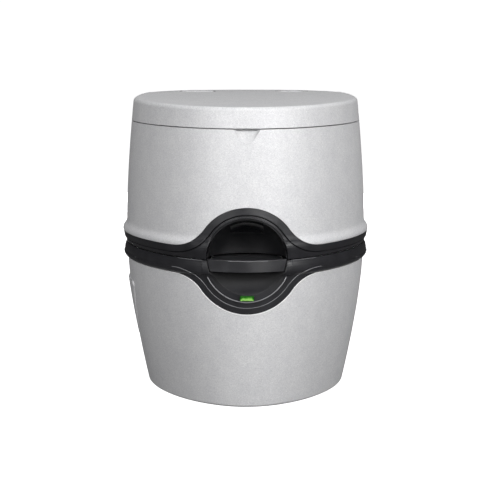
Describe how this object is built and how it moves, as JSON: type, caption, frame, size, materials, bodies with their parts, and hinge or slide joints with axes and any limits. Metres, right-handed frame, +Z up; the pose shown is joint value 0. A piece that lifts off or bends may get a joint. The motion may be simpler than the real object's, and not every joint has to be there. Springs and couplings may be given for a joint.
{
  "type": "portable camp toilet",
  "caption": "Two-part portable camp toilet: a flush unit with lid, seat, bowl and hand pump on a waste tank with a pull-out blade valve, level window and swivelling pour spout.",
  "frame": {"origin": "centre of the bounding box at the floor", "axes": "+Z up, the front with the valve handle faces -Y, +X to the right seen from the front"},
  "size_m": [0.384, 0.4466, 0.4485],
  "materials": {
    "pearl_silver": "satin moulded polyethylene with a fine pearl fleck",
    "charcoal": "dark grey satin moulding",
    "black_plastic": "plain black moulding",
    "bowl_white": "glossy white sanitary moulding",
    "white_plastic": "plain white moulding",
    "green_plastic": "bright green indicator drum",
    "green_lens": "clear lens, green with the drum behind it",
    "smoked_lens": "smoked window strip",
    "seal_rubber": "soft black rubber",
    "hose": "flexible grey hose",
    "steel": "plain stainless steel"
  },
  "bodies": {
    "root": {"waste_tank_shell": "pearl_silver", "side_grip": "pearl_silver", "lower_trim_band": "charcoal", "level_window": "green_lens", "level_bracket": "black_plastic", "level_pin": "steel", "valve_base_frame": "black_plastic", "valve_cover_frame": "black_plastic", "valve_lip_seal": "seal_rubber", "valve_screws": "steel", "vent_valve_body": "black_plastic", "vent_spring": "steel", "spout_ring": "black_plastic", "slider_guide": "black_plastic"},
    "valve": {"valve_blade": "white_plastic", "valve_handle": "charcoal", "handle_screws": "steel"},
    "level_gauge": {"float_arm": "green_plastic", "level_float": "white_plastic"},
    "vent_valve": {"vent_button": "charcoal"},
    "spout": {"pour_spout": "charcoal"},
    "spout_lid": {"spout_cap": "charcoal", "spout_cap_seal": "seal_rubber"},
    "slider": {"coupling_slider": "charcoal"},
    "flush_unit": {"upper_casing": "pearl_silver", "flush_tank_floor": "black_plastic", "floor_posts": "black_plastic", "floor_screws": "steel", "latch_keeper": "black_plastic", "upper_trim_band": "charcoal", "hand_recess_liner": "black_plastic", "flush_level_window": "smoked_lens", "bowl": "bowl_white", "outlet_seal": "seal_rubber", "pump_cylinder": "charcoal", "suction_tube": "hose", "suction_strainer": "white_plastic", "flush_hose": "hose", "rim_nozzle": "bowl_white", "filler_neck": "charcoal", "hinge_brackets": "bowl_white", "hinge_pins": "steel", "bracket_screws": "steel"},
    "pump": {"pump_knob": "pearl_silver", "pump_piston": "white_plastic", "piston_seal": "seal_rubber"},
    "filler": {"fill_cap": "pearl_silver", "fill_cap_seal": "seal_rubber"},
    "lid": {"lid": "pearl_silver", "lid_bumpers": "seal_rubber"},
    "seat": {"seat": "bowl_white", "seat_bumpers": "seal_rubber"}
  },
  "joints": [
    {"name": "flush_unit_lift", "type": "slide", "parent": "root", "child": "flush_unit", "axis": [0, 0, 1], "range_m": [0, 0.2]},
    {"name": "lid_hinge", "type": "hinge", "parent": "flush_unit", "child": "lid", "pos_m": [0, 0.102, 0.437], "axis": [-1, 0, 0], "range_deg": [0, 95]},
    {"name": "seat_hinge", "type": "hinge", "parent": "flush_unit", "child": "seat", "pos_m": [0, 0.102, 0.437], "axis": [-1, 0, 0], "range_deg": [0, 91]},
    {"name": "pump_stroke", "type": "slide", "parent": "flush_unit", "child": "pump", "axis": [0, 0, 1], "range_m": [0, 0.06]},
    {"name": "fill_cap_off", "type": "slide", "parent": "flush_unit", "child": "filler", "axis": [0, 0, 1], "range_m": [0, 0.045]},
    {"name": "valve_pull", "type": "slide", "parent": "root", "child": "valve", "axis": [0, -1, 0], "range_m": [0, 0.112]},
    {"name": "level_gauge_hinge", "type": "hinge", "parent": "root", "child": "level_gauge", "pos_m": [0, -0.197, 0.1691], "axis": [1, 0, 0], "range_deg": [-8, 8]},
    {"name": "vent_press", "type": "slide", "parent": "root", "child": "vent_valve", "axis": [0, 0, -1], "range_m": [0, 0.004], "stiffness_N_per_m": 400, "springref_m": -0.002, "deforming": ["vent_spring"]},
    {"name": "spout_swivel", "type": "hinge", "parent": "root", "child": "spout", "pos_m": [-0.074, 0.166, 0.16], "axis": [0, 0, 1], "range_deg": [0, 90]},
    {"name": "spout_cap_off", "type": "slide", "parent": "spout", "child": "spout_lid", "axis": [1, 0, 0], "range_m": [0, 0.024]},
    {"name": "coupling_slide", "type": "slide", "parent": "root", "child": "slider", "axis": [1, 0, 0], "range_m": [0, 0.012]}
  ],
  "couplings": [
    {"joint": "seat_hinge", "follows": "lid_hinge", "ratio": 0.95}
  ]
}
